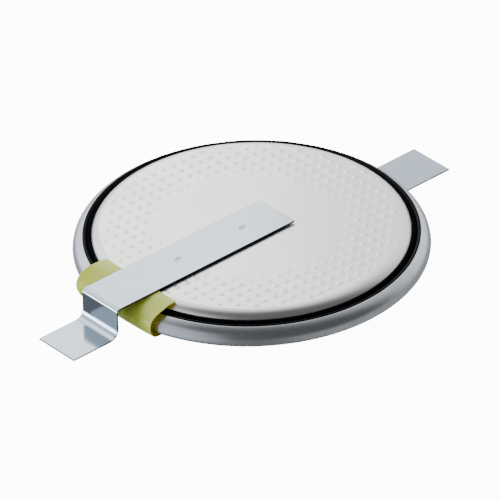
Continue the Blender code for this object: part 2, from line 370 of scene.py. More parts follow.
class Wiring:
    """A node tree in the making, whose inputs are constants or other nodes' outputs."""

    tree: bpy.types.NodeTree

    def feed(self, socket: Socket, value: object) -> None:
        """Link a socket to an input, or set the input to a constant."""
        if isinstance(value, Socket):
            self.tree.links.new(value, socket)
        else:
            socket.default_value = value

    def maths(self, how: str, first: object, second: object) -> Socket:
        """Two values joined by an arithmetic node."""
        made = self.tree.nodes.new("ShaderNodeMath")
        made.operation = how
        self.feed(made.inputs[0], first)
        self.feed(made.inputs[1], second)
        return made.outputs[0]

    def product(self, first: object, *others: object) -> Socket:
        """All the values multiplied."""
        return reduce(lambda done, value: self.maths("MULTIPLY", done, value), others, first)

    def total(self, first: object, *others: object) -> Socket:
        """All the values added."""
        return reduce(lambda done, value: self.maths("ADD", done, value), others, first)

    def scaled(self, value: object, source: Pair, result: Pair, how: str = "LINEAR") -> Socket:
        """A value taken from one range to another, held at its ends."""
        made = self.tree.nodes.new("ShaderNodeMapRange")
        made.interpolation_type = how
        labels = ("Value", "From Min", "From Max", "To Min", "To Max")
        for label, number in zip(labels, (value, *source, *result)):
            self.feed(made.inputs[label], number)
        return made.outputs["Result"]

    def between(self, share: Socket, first: object, second: object) -> Socket:
        """A colour between two, by a share from 0 to 1."""
        made = self.tree.nodes.new("ShaderNodeMix")
        made.data_type = "RGBA"
        self.feed(made.inputs[0], share)
        for socket, colour in zip((made.inputs[6], made.inputs[7]), (first, second)):
            self.feed(socket, (*colour, 1.0) if isinstance(colour, tuple) else colour)
        return made.outputs[2]


class Recipe(Wiring):
    """A material in the making: one Principled shader and the nodes that vary it."""

    def __init__(self, name: str) -> None:
        """Start the material with its shader."""
        self.material = bpy.data.materials.new(name)
        self.material.use_nodes = True
        self.tree = self.material.node_tree
        self.shader = self.tree.nodes["Principled BSDF"]

    def node(self, kind: str, **inputs: object) -> bpy.types.Node:
        """A node with its inputs fed, named with underscores for spaces."""
        made = self.tree.nodes.new(kind)
        for label, value in inputs.items():
            self.feed(made.inputs[label.replace("_", " ")], value)
        return made

    def place(self, lay: Lay) -> Socket:
        """Where the grain is read: on the object, or along a strip, drawn out by its lay."""
        if lay is Lay.ALONG:
            source = self.tree.nodes.new("ShaderNodeAttribute")
            source.attribute_name = "strip_place"
            start = source.outputs["Vector"]
        else:
            start = self.tree.nodes.new("ShaderNodeTexCoord").outputs["Object"]
        drawn = {Lay.EVEN: (1.0, 1.0, 1.0), Lay.UPRIGHT: (1.0, 1.0, 0.12), Lay.ALONG: (0.05, 1.0, 1.0)}
        return self.node("ShaderNodeMapping", Vector=start, Scale=drawn[lay]).outputs["Vector"]

    def grain(self, place: Socket, pitch: float, detail: float = 2.0) -> Socket:
        """Noise between 0 and 1 whose spots are about a pitch across, in millimetres."""
        made = self.node("ShaderNodeTexNoise", Vector=place, Scale=1.0 / (pitch * MM), Detail=detail)
        return made.outputs["Fac"]

    def flag(self, label: str) -> Socket:
        """One of the surface's own fields."""
        made = self.tree.nodes.new("ShaderNodeAttribute")
        made.attribute_name = label
        return made.outputs["Fac"]

    def emboss(self, height: Socket, depth: float) -> None:
        """Raise the surface by a height from 0 to 1, times a depth in millimetres."""
        bump = self.node("ShaderNodeBump", Height=height, Distance=depth * MM, Strength=1.0)
        self.feed(self.shader.inputs["Normal"], bump.outputs["Normal"])

    def set(self, **values: object) -> None:
        """Set or link inputs of the shader, with underscores for spaces in their names."""
        for label, value in values.items():
            self.feed(self.shader.inputs[label.replace("_", " ")], value)


@dataclass(frozen=True)
class Finish:
    """A surface that drifts between two tones and two roughnesses, with a fine grain in relief."""

    name: str
    tone: Colour
    drift: Colour
    roughness: Pair
    patch: float = 2.5
    grain: float = 0.08
    relief: float = 0.0006
    metallic: float = 1.0
    refraction: float = 1.45
    lay: Lay = Lay.EVEN

    def material(self) -> bpy.types.Material:
        """Make the material."""
        recipe = Recipe(self.name)
        self.dress(recipe)
        return recipe.material

    def dress(self, recipe: Recipe) -> tuple[Socket, Socket]:
        """Give the recipe its tones, roughness and grain.

        Args:
            recipe: The material in the making.

        Returns:
            The colour and the roughness, for a finish that adds to them.
        """
        broad = recipe.grain(recipe.place(Lay.EVEN), self.patch, 4.0)
        fine = recipe.grain(recipe.place(self.lay), self.grain)
        share = recipe.scaled(broad, (0.35, 0.65), (0.0, 1.0))
        colour = recipe.between(share, self.tone, self.drift)
        mixed = recipe.total(recipe.product(broad, 0.6), recipe.product(fine, 0.4))
        roughness = recipe.scaled(mixed, (0.35, 0.65), self.roughness)
        recipe.set(Base_Color=colour, Roughness=roughness, Metallic=self.metallic)
        recipe.set(IOR=self.refraction)
        recipe.emboss(fine, self.relief)
        return colour, roughness


@dataclass(frozen=True)
class WeldedStrip(Finish):
    """Rolled strip with heat tint round its welds, and its cut edge painted near-black as shade and made a
    little rougher.
    """

    tint: Colour = (0.20, 0.17, 0.13)
    # painted shade: near-black colour of the cut edge, standing in for the dark gap and shadow beside the
    # tab's edge
    painted_edge_shade: Colour = (0.02, 0.02, 0.023)

    def dress(self, recipe: Recipe) -> tuple[Socket, Socket]:
        """Add the heat tint, and the painted shade on the cut edge, to the rolled finish."""
        colour, roughness = super().dress(recipe)
        speckle = recipe.scaled(recipe.grain(recipe.place(Lay.EVEN), 0.06), (0.3, 0.7), (0.6, 1.0))
        heat = recipe.product(recipe.flag("heat"), speckle)
        # painted shade: the cut edge's mask turns the colour near-black, standing in for the shadowed gap
        # beside the edge
        edge = recipe.flag("edge_shade_mask")
        colour = recipe.between(heat, colour, self.tint)
        colour = recipe.between(edge, colour, self.painted_edge_shade)
        worn = recipe.total(recipe.product(heat, 0.3), recipe.product(edge, 0.25))
        recipe.set(Base_Color=colour, Roughness=recipe.total(roughness, worn))
        return colour, roughness


@dataclass(frozen=True)
class Film(Finish):
    """Thin coloured plastic that lets light soak through."""

    soak: float = 0.5
    depth: float = 0.25

    def dress(self, recipe: Recipe) -> tuple[Socket, Socket]:
        """Add the soaked light."""
        made = super().dress(recipe)
        recipe.set(Subsurface_Weight=self.soak, Subsurface_Radius=(1.0, 1.0, 0.35))
        recipe.set(Subsurface_Scale=self.depth * MM)
        return made


CAN_STEEL = Finish(
    "can_steel",
    tone=(0.58, 0.575, 0.565),
    drift=(0.52, 0.515, 0.51),
    roughness=(0.24, 0.33),
    patch=1.6,
    grain=0.10,
    relief=0.00015,
    lay=Lay.UPRIGHT,
)
CAP_STEEL = Finish(
    "cap_steel",
    tone=(0.83, 0.76, 0.685),
    drift=(0.81, 0.75, 0.69),
    roughness=(0.28, 0.34),
    patch=3.0,
    grain=0.07,
    relief=0.0005,
)
TAB_NICKEL = WeldedStrip(
    "tab_nickel",
    tone=(0.43, 0.475, 0.505),
    drift=(0.41, 0.455, 0.485),
    roughness=(0.12, 0.16),
    patch=4.0,
    grain=0.05,
    relief=0.00004,
    lay=Lay.ALONG,
)
GASKET_BLACK = Finish(
    "gasket_black",
    tone=(0.0015, 0.0015, 0.002),
    drift=(0.003, 0.003, 0.004),
    roughness=(0.30, 0.42),
    patch=1.2,
    grain=0.12,
    relief=0.0012,
    metallic=0.0,
    refraction=1.03,
)
SEALANT_BLACK = Finish(
    "sealant_black",
    tone=(0.0015, 0.0015, 0.002),
    drift=(0.004, 0.004, 0.005),
    roughness=(0.14, 0.26),
    patch=0.8,
    grain=0.25,
    relief=0.0020,
    metallic=0.0,
    refraction=1.10,
)
COLLECTOR_STEEL = Finish(
    "collector_steel",
    tone=(0.55, 0.56, 0.57),
    drift=(0.48, 0.49, 0.50),
    roughness=(0.26, 0.38),
    grain=0.10,
    lay=Lay.UPRIGHT,
)
CATHODE_MIX = Finish(
    "cathode_mix",
    tone=(0.022, 0.021, 0.020),
    drift=(0.045, 0.043, 0.040),
    roughness=(0.75, 0.95),
    patch=0.35,
    grain=0.09,
    relief=0.012,
    metallic=0.0,
)
SEPARATOR_FELT = Finish(
    "separator_felt",
    tone=(0.86, 0.86, 0.83),
    drift=(0.74, 0.74, 0.70),
    roughness=(0.85, 1.0),
    patch=0.5,
    grain=0.05,
    relief=0.010,
    metallic=0.0,
)
LITHIUM_METAL = Finish(
    "lithium_metal",
    tone=(0.66, 0.66, 0.68),
    drift=(0.50, 0.50, 0.53),
    roughness=(0.38, 0.60),
    patch=1.8,
    grain=0.20,
    relief=0.002,
)
WELD_METAL = Finish(
    "weld_metal",
    tone=(0.50, 0.50, 0.50),
    drift=(0.30, 0.27, 0.24),
    roughness=(0.40, 0.62),
    patch=0.15,
    grain=0.04,
    relief=0.002,
)
TAPE_FILM = Film(
    "tape_film",
    tone=(0.82, 0.95, 0.11),
    drift=(0.90, 0.97, 0.09),
    roughness=(0.26, 0.38),
    patch=1.5,
    grain=0.15,
    relief=0.0015,
    metallic=0.0,
)
TAPE_ADHESIVE = Film(
    "tape_adhesive",
    tone=(0.55, 0.42, 0.03),
    drift=(0.62, 0.50, 0.05),
    roughness=(0.35, 0.50),
    patch=0.8,
    grain=0.10,
    relief=0.0030,
    metallic=0.0,
)


@cache
def dressed(finish: Finish) -> bpy.types.Material:
    """The one material of a finish, made when it is first asked for."""
    return finish.material()


def add_piece(name: str, surface: Surface, node: str, slot: str, *finishes: Finish) -> bpy.types.Object:
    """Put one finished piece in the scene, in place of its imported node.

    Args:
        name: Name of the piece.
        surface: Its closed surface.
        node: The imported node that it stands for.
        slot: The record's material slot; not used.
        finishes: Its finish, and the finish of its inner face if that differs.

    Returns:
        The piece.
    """
    piece = bpy.data.objects.new(name, surface.mesh(name, len(finishes) > 1))
    bpy.context.scene.collection.objects.link(piece)
    for finish in finishes:
        piece.data.materials.append(dressed(finish))
    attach(piece, BODY)
    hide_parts(node)
    log.info("%s: %d faces, for %s", name, len(piece.data.polygons), node)
    return piece


# Casing


@dataclass
class Casing:
    """The two pressed steel halves: the can below and the bumped cap above."""

    can_radius: float = high("positive_can", 0)
    cap_top: float = high("negative_cap", 2)
    wall: float = 0.20
    corner_bend: float = 0.25
    crimp_height: float = 0.723
    crimp_bend: float = 0.69
    lip: Pair = (9.365, 1.075)
    neck_radius: float = 8.88
    shoulder_bend: float = 0.54
    ledge_height: float = 0.66
    ledge_bend: float = 0.20
    skirt_radius: float = 9.35
    skirt_bottom: float = low("negative_cap", 2)
    skirt_bend: float = 0.15
    bump_pitch: float = 0.695
    bump_radius: float = 0.20
    bump_height: float = 0.042
    bump_turn: float = math.radians(-1.97)
    bump_place: Pair = (0.582, 0.610)
    bumps_fade_in: Pair = (4.3, 6.6)
    bumps_end: Pair = (8.14, 8.32)
    can_steps: int = 360
    cap_steps: int = 560
    ring_step: float = 0.062
    smooth_ring_step: float = 0.35
    calm_from: float = 8.0
    cap_sway: float = 0.004
    wall_sway: float = 0.0035

    def can_path(self, start: float) -> Array:
        """Middle line of the can's sheet, from a radius on its floor up and over to its lip."""
        wall = self.can_radius - self.wall / 2.0
        floor = self.wall / 2.0
        corners = [(start, floor), (wall, floor), (wall, self.crimp_height), self.lip]
        return rounded_path(corners, [self.corner_bend, self.crimp_bend])

    def cap_path(self, start: Pair) -> Array:
        """Middle line of the cap's sheet, from a point on its top or neck down to its skirt."""
        corners = [
            (self.neck_radius, self.ledge_height),
            (self.skirt_radius, self.ledge_height),
            (self.skirt_radius, self.skirt_bottom),
        ]
        radii = [self.ledge_bend, self.skirt_bend]
        if start[0] < self.neck_radius:
            corners.insert(0, (self.neck_radius, start[1]))
            radii.insert(0, self.shoulder_bend)
        return rounded_path([start] + corners, radii)

    def bumps(self, x: Array, y: Array) -> Array:
        """Height of the bumps over the cap's flat top.

        The bumps stand on a square lattice that is turned a little about Z. With d the distance
        to the nearest lattice point, a bump is (1 + cos(pi d / R)) / 2 high inside its radius R,
        times an amplitude that grows with the radius from the cap's middle and stops at its rim.

        Args:
            x: Coordinates along the tabs.
            y: Coordinates across the tabs.

        Returns:
            The height at each point.
        """
        turn, pitch = self.bump_turn, self.bump_pitch
        x0, y0 = x - self.bump_place[0], y - self.bump_place[1]
        across = x0 * math.cos(turn) + y0 * math.sin(turn)
        up = -x0 * math.sin(turn) + y0 * math.cos(turn)
        column, row = np.round(across / pitch) * pitch, np.round(up / pitch) * pitch
        distance = np.hypot(across - column, up - row)
        centre = np.hypot(
            column * math.cos(turn) - row * math.sin(turn) + self.bump_place[0],
            column * math.sin(turn) + row * math.cos(turn) + self.bump_place[1],
        )
        amplitude = smooth_step(*self.bumps_fade_in, centre) * (1.0 - smooth_step(*self.bumps_end, centre))
        swell = 0.5 + 0.5 * np.cos(math.pi * np.clip(distance / self.bump_radius, 0.0, 1.0))
        return self.bump_height * amplitude * swell

    def cap_surface(self) -> Surface:
        """The cap: its top in close rings that carry the bumps, then neck, ledge and skirt."""
        level = self.cap_top - self.wall / 2.0
        section = sheet_section(self.cap_path((0.0, level)), self.wall)
        flat_end = section[1, 0]
        smooth = np.arange(0.0, self.bumps_fade_in[0], self.smooth_ring_step)
        close = np.arange(self.bumps_fade_in[0], flat_end - 0.01, self.ring_step)
        radii = np.concatenate([smooth, close, [flat_end]])
        top = np.stack([radii, np.full(len(radii), self.cap_top)], axis=1)
        grid = turned_grid(np.vstack([top, section[2:]]), self.cap_steps)
        x, y = grid[: len(top), :, 0], grid[: len(top), :, 1]
        calm = 1.0 - smooth_step(self.calm_from, flat_end, np.hypot(x, y))
        grid[: len(top), :, 2] += self.bumps(x, y) + self.cap_sway * calm * ripple(x, y, 9.0, 3)
        return turned_surface(grid)

    def can_surface(self) -> Surface:
        """The can, whose wall is a few thousandths of a millimetre out of round."""
        section = sheet_section(self.can_path(0.0), self.wall)
        grid = turned_grid(section, self.can_steps)
        angle = np.arange(self.can_steps) * (math.tau / self.can_steps)
        height = section[:, 1:]
        wave = ripple(9.9 * np.cos(angle) + 0.0 * height, 9.9 * np.sin(angle) + 3.0 * height, 5.0, 11)
        share = smooth_step(8.5, 9.7, section[:, :1]) * self.wall_sway * wave
        grid[..., :2] *= (1.0 - np.abs(share) / self.can_radius)[..., None]
        return turned_surface(grid)

    def build(self) -> None:
        """Make both halves."""
        add_piece("drawn_can", self.can_surface(), "positive_can", "can_steel", CAN_STEEL)
        add_piece("bumped_cap", self.cap_surface(), "negative_cap", "cap_steel", CAP_STEEL)


# Seal


@dataclass
class Seal:
    """The moulded gasket between the halves, and the bead of pitch that closes its seam."""

    casing: Casing
    gap: float = 0.012
    gasket_inner: float = 8.95
    neck_top: float = 1.10
    crown: tuple[Pair, ...] = ((8.958, 1.205), (9.03, 1.235), (9.165, 1.20), (9.20, 1.03))
    crown_bends: tuple[float, ...] = (0.02, 0.04, 0.04, 0.02)
    bead_inner: float = 9.215
    bead_outer: float = high("sealant_ring", 0) + 0.03
    bead_foot: Pair = (9.325, low("sealant_ring", 2))
    bead_heights: Pair = (1.10, 1.15)
    bead_arch: float = 0.045
    steps: int = 360

    def gasket_surface(self) -> Surface:
        """The gasket: against the cap going down, round its skirt, and up the can to the crown."""
        casing = self.casing
        stand_off = casing.wall / 2.0 + self.gap
        on_cap = beside(casing.cap_path((casing.neck_radius, self.neck_top)), stand_off)
        on_can = beside(casing.can_path(self.gasket_inner), stand_off)
        under_skirt = casing.skirt_bottom - self.gap
        inner_edge = [(on_cap[-1, 0], under_skirt), (self.gasket_inner, under_skirt)]
        seat = (on_can[-1, 0] - self.gap, self.crown[-1][1])
        past_lip = [(seat[0], on_can[-1, 1] + self.gap)]
        crown = rounded_path(
            [seat, *reversed(self.crown), (on_cap[0, 0], self.neck_top)],
            list(reversed(self.crown_bends)),
            steps=6,
        )
        section = np.vstack([on_cap, inner_edge, on_can, past_lip, crown[:-1]])
        return turned_surface(turned_grid(section[::-1], self.steps))

    def bead_surface(self) -> Surface:
        """The bead: a low arch from side to side, whose crown wanders a little.

        Its height is z = z1 + (z2 - z1) s + a sin(t), with s = (1 - cos t) / 2.
        """
        t = np.linspace(0.0, math.pi, 17)
        share = (1.0 - np.cos(t)) / 2.0
        across = self.bead_inner + (self.bead_outer - self.bead_inner) * share
        (inner, outer), bottom = self.bead_heights, self.bead_foot[1]
        arch = np.stack([across, inner + (outer - inner) * share + self.bead_arch * np.sin(t)], axis=1)
        foot = [self.bead_foot, (self.bead_inner + 0.01, bottom)]
        section = np.vstack([arch, foot])
        grid = turned_grid(section, self.steps)
        x, y = grid[..., 0], grid[..., 1]
        lift = np.clip((section[:, 1:] - bottom) / (arch[:, 1].max() - bottom), 0.0, 1.0)
        grid[..., 2] -= 0.012 * lift * (0.5 + 0.5 * ripple(x, y, 1.8, 5))
        return turned_surface(grid)

    def build(self) -> None:
        """Make the gasket and its bead."""
        add_piece("moulded_gasket", self.gasket_surface(), "sealing_gasket", "gasket_black", GASKET_BLACK)
        add_piece("pitch_bead", self.bead_surface(), "sealant_ring", "sealant_black", SEALANT_BLACK)


# Stack


@dataclass
class Stack:
    """What lies inside: collector ring, cathode pellet, separator and lithium."""

    gap: float = 0.012
    ring_radius: float = high("collector_ring", 0)
    ring_top: float = high("collector_ring", 2)
    ring_foot: float = 0.80
    ring_wall: float = 0.12
    disc_rings: int = 40
    pellet_rings: int = 60
    steps: int = 180

    def uneven(
        self, outline: Array, rings: Array, calm: Pair, swell: float, pitch: float, seed: int
    ) -> Surface:
        """Turn an outline whose flat top dips in a ripple, which dies out towards the edge.

        Args:
            outline: The section, from the middle of the top.
            rings: Radii of the rings that carry the ripple.
            calm: The radii between which the ripple dies out.
            swell: Greatest depth of the ripple.
            pitch: Its wavelength.
            seed: Its seed.

        Returns:
            The closed surface.
        """
        count = len(rings)
        top = np.stack([rings, np.full(count, outline[0, 1])], axis=1)
        grid = turned_grid(np.vstack([top, outline[1:]]), self.steps)
        x, y = grid[:count, :, 0], grid[:count, :, 1]
        fade = 1.0 - smooth_step(*calm, np.hypot(x, y))
        grid[:count, :, 2] -= swell * fade * (0.5 + 0.5 * ripple(x, y, pitch, seed))
        return turned_surface(grid)

    def disc(self, node: str, edge: float, swell: float, pitch: float, seed: int) -> Surface:
        """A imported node's disc, with a rounded edge and a slightly uneven top."""
        radius, bottom, top = high(node, 0), low(node, 2), high(node, 2)
        rim = rounded_path([(0.0, top), (radius, top), (radius, bottom), (0.0, bottom)], [edge, edge], 6)
        inner = radius - 2.0 * edge
        rings = np.linspace(0.0, inner, self.disc_rings)
        return self.uneven(rim, rings, (0.85 * radius, inner), swell, pitch, seed)

    def pellet_surface(self) -> Surface:
        """The pellet: its edge steps in above the collector ring's flange."""
        node = "cathode_pellet"
        radius, bottom, top = high(node, 0), low(node, 2), high(node, 2)
        step = self.ring_radius - self.ring_foot - self.gap
        ledge = bottom + self.ring_wall + self.gap
        corners = [(0.0, top), (radius, top), (radius, ledge), (step, ledge), (step, bottom), (0.0, bottom)]
        section = rounded_path(corners, [0.06, 0.02, 0.02, 0.03], 6)
        rings = np.linspace(0.0, radius - 0.15, self.pellet_rings)
        calm = (0.9 * radius, radius - 0.2)
        return self.uneven(section, rings, calm, swell=0.008, pitch=1.1, seed=23)

    def ring_surface(self) -> Surface:
        """The collector ring: a sheet bent to an L, its flange pointing inwards."""
        half = self.ring_wall / 2.0
        floor = low("collector_ring", 2) + half
        wall = self.ring_radius - half
        start = self.ring_radius - self.ring_foot
        path = rounded_path([(start, floor), (wall, floor), (wall, self.ring_top)], [0.10], 8)
        return turned_surface(turned_grid(sheet_section(path, self.ring_wall), 2 * self.steps))

    def build(self) -> None:
        """Make the stack from the can's floor upwards."""
        felt = self.disc("separator", edge=0.03, swell=0.010, pitch=2.2, seed=31)
        lithium = self.disc("lithium_anode", edge=0.08, swell=0.006, pitch=3.0, seed=37)
        add_piece("rim_collector", self.ring_surface(), "collector_ring", "collector_steel", COLLECTOR_STEEL)
        add_piece("pressed_pellet", self.pellet_surface(), "cathode_pellet", "cathode_mix", CATHODE_MIX)
        add_piece("felt_separator", felt, "separator", "separator_felt", SEPARATOR_FELT)
        add_piece("lithium_foil", lithium, "lithium_anode", "lithium_metal", LITHIUM_METAL)


# Tabs


@dataclass
class Tabs:
    """The two nickel solder tabs and the weld nuggets that hold them."""

    width: float = high("negative_tab", 1) - low("negative_tab", 1)
    line: float = (high("negative_tab", 1) + low("negative_tab", 1)) / 2.0
    thickness: float = 0.10
    top: float = high("negative_tab", 2)
    foot: float = low("negative_tab", 2)
    inner_end: float = high("negative_tab", 0)
    foot_end: float = low("negative_tab", 0)
    drop: float = -11.16
    top_bend: float = 0.20
    foot_bend: float = 0.60
    straight_start: float = low("positive_tab", 0)
    straight_end: float = high("positive_tab", 0)
    edge_radius: float = 0.03
    step: float = 0.06
    cap_welds: tuple[str, ...] = ("negative_weld_inner", "negative_weld_outer")
    can_welds: tuple[str, ...] = ("positive_weld_inner", "positive_weld_outer")
    pit_long: float = 0.30
    pit_wide: float = 0.19
    pit_depth: float = 0.035
    rim_share: float = 0.12
    rim_place: float = 1.2
    rim_spread: float = 0.06
    heat_reach: float = 0.28
    nugget_radius: float = 0.40
    nugget_power: float = 2.6
    nugget_steps: int = 48

    def strip(self, path: Array, welds: Sequence[str]) -> Surface:
        """A strip of the tabs' width along a path in the XZ plane, with a pit at each weld.

        The middle surface is the path carried across Y. A pit is d (1 - q)^2 deep where
        q = (x/a)^2 + (y/b)^2 is under 1, and the metal pushed out of it stands as a low rim.

        Args:
            path: Middle line as (x, z) points.
            welds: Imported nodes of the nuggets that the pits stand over.

        Returns:
            The closed surface. Its outer face is on the left of the path.
        """
        run = np.concatenate([[0.0], np.cumsum(np.linalg.norm(np.diff(path, axis=0), axis=1))])
        along = spaced(run[-1], self.step, self.edge_radius)
        across = spaced(self.width, self.step, self.edge_radius)
        side = path[0, 0] < path[-1, 0]
        y = self.line + (across - self.width / 2.0) * (1.0 if side else -1.0)
        line = np.stack([np.interp(along, run, path[:, 0]), np.interp(along, run, path[:, 1])], axis=1)
        middle = swept(line[:, :1], y, line[:, 1:])
        border = np.minimum(to_end(along)[:, None], to_end(across)[None])
        half = half_thickness(along, across, self.thickness, self.edge_radius)
        relief = np.zeros_like(half)
        heat = np.zeros_like(half)
        level = np.abs(middle[..., 2] - path[0, 1]) < self.thickness
        for place in map(middle_of, welds):
            long = (middle[..., 0] - place[0]) / self.pit_long
            wide = (middle[..., 1] - place[1]) / self.pit_wide
            q = long**2 + wide**2
            relief -= level * self.pit_depth * np.clip(1.0 - q, 0.0, 1.0) ** 2
            rim = np.exp(-((np.sqrt(q) - self.rim_place) ** 2) / self.rim_spread)
            relief += level * self.rim_share * self.pit_depth * rim
            reach = np.hypot(middle[..., 0] - place[0], middle[..., 1] - place[1]) / self.heat_reach
            heat += level * np.exp(-(reach**4))
        fields = {
            "strip_place": strip_place(along, y),
            "heat": np.clip(heat, 0.0, 1.0),
            # painted shade mask: 1 at the sheet's cut edge, fading to 0 over the edge radius; the finish
            # paints it near-black
            "edge_shade_mask": 1.0 - smooth_step(0.0, self.edge_radius, border),
        }
        return sheet_surface(middle, half, relief, fields)

    def stepped_path(self) -> Array:
        """Middle line of the negative tab, from its inner end to the end of its foot."""
        top, foot = self.top - self.thickness / 2.0, self.foot + self.thickness / 2.0
        corners = [(self.inner_end, top), (self.drop, top), (self.drop, foot), (self.foot_end, foot)]
        return rounded_path(corners, [self.top_bend, self.foot_bend], 24)

    def straight_path(self) -> Array:
        """Middle line of the positive tab, from under the can to its free end."""
        level = self.foot + self.thickness / 2.0
        return np.array([(self.straight_start, level), (self.straight_end, level)])

    def nugget(self, node: str) -> Surface:
        """A weld nugget: a lens with the outline (r/R)^2.6 + (z/h)^2.6 = 1, placed at its weld."""
        bottom, top = low(node, 2), high(node, 2)
        t = np.linspace(math.pi / 2.0, -math.pi / 2.0, 25)
        power = 2.0 / self.nugget_power
        radius = self.nugget_radius * np.abs(np.cos(t)) ** power
        radius[[0, -1]] = 0.0
        bulge = np.sign(np.sin(t)) * np.abs(np.sin(t)) ** power
        height = (bottom + top) / 2.0 + (top - bottom) / 2.0 * bulge
        grid = turned_grid(np.stack([radius, height], axis=1), self.nugget_steps)
        angle = np.arange(self.nugget_steps) * (math.tau / self.nugget_steps)
        grid[..., :2] *= (1.0 - 0.04 * np.cos(3.0 * angle) ** 2)[None, :, None]
        grid[..., :2] += middle_of(node)
        return turned_surface(grid)

    def build(self) -> None:
        """Make both tabs and the four nuggets."""
        stepped = self.strip(self.stepped_path(), self.cap_welds)
        straight = self.strip(self.straight_path(), self.can_welds)
        add_piece("stepped_tab", stepped, "negative_tab", "tab_nickel", TAB_NICKEL)
        add_piece("straight_tab", straight, "positive_tab", "tab_nickel", TAB_NICKEL)
        for half in ("negative", "positive"):
            for end in ("inner", "outer"):
                node = f"{half}_weld_{end}"
                add_piece(f"{half}_nugget_{end}", self.nugget(node), node, "weld_metal", WELD_METAL)


# Insulation


@dataclass
class Tape:
    """The film folded over the rim, which keeps the negative tab off the can.

    Three lines in the XZ plane give its shape: at one edge, under the tab, and at the other edge.
    """

    casing: Casing
    width: float = high("insulating_tape", 1) - low("insulating_tape", 1)
    thickness: float = 0.05
    near_line: tuple[Pair, ...] = (
        (-8.15, 1.605), (-8.60, 1.575), (-9.10, 1.46), (-9.60, 1.29), (-9.93, 1.02),
        (-10.02, 0.60), (-9.88, 0.17), (-9.50, -0.045), (-8.15, -0.045),
    )
    middle_line: tuple[Pair, ...] = (
        (-8.15, 1.612), (-8.65, 1.60), (-9.20, 1.48), (-9.72, 1.27), (-10.05, 0.98),
        (-10.12, 0.60), (-9.98, 0.18), (-9.60, -0.045), (-8.15, -0.045),
    )
    far_line: tuple[Pair, ...] = (
        (-8.15, 1.62), (-8.70, 1.66), (-9.25, 1.69), (-9.80, 1.60), (-10.22, 1.30),
        (-10.36, 0.90), (-10.22, 0.40), (-9.80, -0.045), (-8.15, -0.045),
    )
    edge_radius: float = 0.02
    step: float = 0.07
    rest_gap: float = 0.008

    def line_weights(self, count: int, samples: Array) -> Array:
        """Weights of a cubic curve that passes through its points.

        Between points 1 and 2 of four neighbours, at t, the weights are those of Catmull and Rom:
        (-t + 2t^2 - t^3) / 2, (2 - 5t^2 + 3t^3) / 2, (t + 4t^2 - 3t^3) / 2 and (-t^2 + t^3) / 2.

        Args:
            count: Number of points.
            samples: Places along the curve, from 0 to count - 1.

        Returns:
            A (sample, point) matrix of weights.
        """
        start = np.minimum(samples.astype(int), count - 2)
        t = samples - start
        shares = np.stack(
            [-t + 2 * t**2 - t**3, 2 - 5 * t**2 + 3 * t**3, t + 4 * t**2 - 3 * t**3, t**3 - t**2], axis=1
        ) / 2.0
        weights = np.zeros((len(samples), count))
        for offset in range(4):
            point = np.clip(start + offset - 1, 0, count - 1)
            np.add.at(weights, (np.arange(len(samples)), point), shares[:, offset])
        return weights

    def cap_height(self, radius: Array) -> Array:
        """Height of the cap's outer face at a radius: flat, then its round shoulder."""
        casing = self.casing
        bend = casing.shoulder_bend + casing.wall / 2.0
        centre = casing.neck_radius + casing.wall / 2.0 - bend
        fall = np.clip(radius - centre, 0.0, bend)
        shoulder = casing.cap_top - bend + np.sqrt(bend**2 - fall**2)
        return np.where(radius < centre + bend, shoulder, casing.cap_top - 2.0 * bend)

    def surface(self) -> Surface:
        """The folded film, lifted where it would sink into the cap's shoulder."""
        lines = np.array([self.near_line, self.middle_line, self.far_line])
        samples = np.linspace(0.0, lines.shape[1] - 1.0, 161)
        across = spaced(self.width, self.step, self.edge_radius)
        y = self.width / 2.0 - across
        share = y / (self.width / 2.0)
        belly = np.abs(share) ** 2.4
        sides = np.stack([belly * (share < 0), 1.0 - belly, belly * (share >= 0)])
        curves = np.einsum("sp,lpc->lsc", self.line_weights(lines.shape[1], samples), lines)
        section = np.einsum("lsc,ly->syc", curves, sides)
        run = np.linalg.norm(np.diff(section[:, len(y) // 2], axis=0), axis=1)
        length = np.concatenate([[0.0], np.cumsum(run)])
        along = spaced(length[-1], self.step, self.edge_radius)
        pick = np.interp(along, length, np.arange(len(length)))
        lower = np.minimum(pick.astype(int), len(length) - 2)
        part = (pick - lower)[:, None, None]
        section = section[lower] * (1.0 - part) + section[lower + 1] * part
        middle = swept(section[..., 0], y, section[..., 1])
        upper = smooth_step(1.0, 1.25, middle[..., 2])
        cap = self.cap_height(np.hypot(middle[..., 0], middle[..., 1]))
        rest = cap + self.thickness / 2.0 + self.rest_gap
        middle[..., 2] += upper * np.maximum(rest - middle[..., 2], 0.0)
        half = half_thickness(along, across, self.thickness, self.edge_radius)
        log.info("tape: flat size %.2f x %.2f mm", length[-1], self.width)
        return sheet_surface(middle, half, np.zeros_like(half), {"strip_place": strip_place(along, y)})

    def build(self) -> None:
        """Make the tape."""
        add_piece("folded_tape", self.surface(), "insulating_tape", "tape_film", TAPE_FILM, TAPE_ADHESIVE)


# Studio


def way(azimuth: float, elevation: float) -> Vector:
    """Unit vector from the cell at an azimuth, counted from -Y towards +X, and an elevation."""
    level = math.cos(elevation)
    return Vector((level * math.sin(azimuth), -level * math.cos(azimuth), math.sin(elevation)))


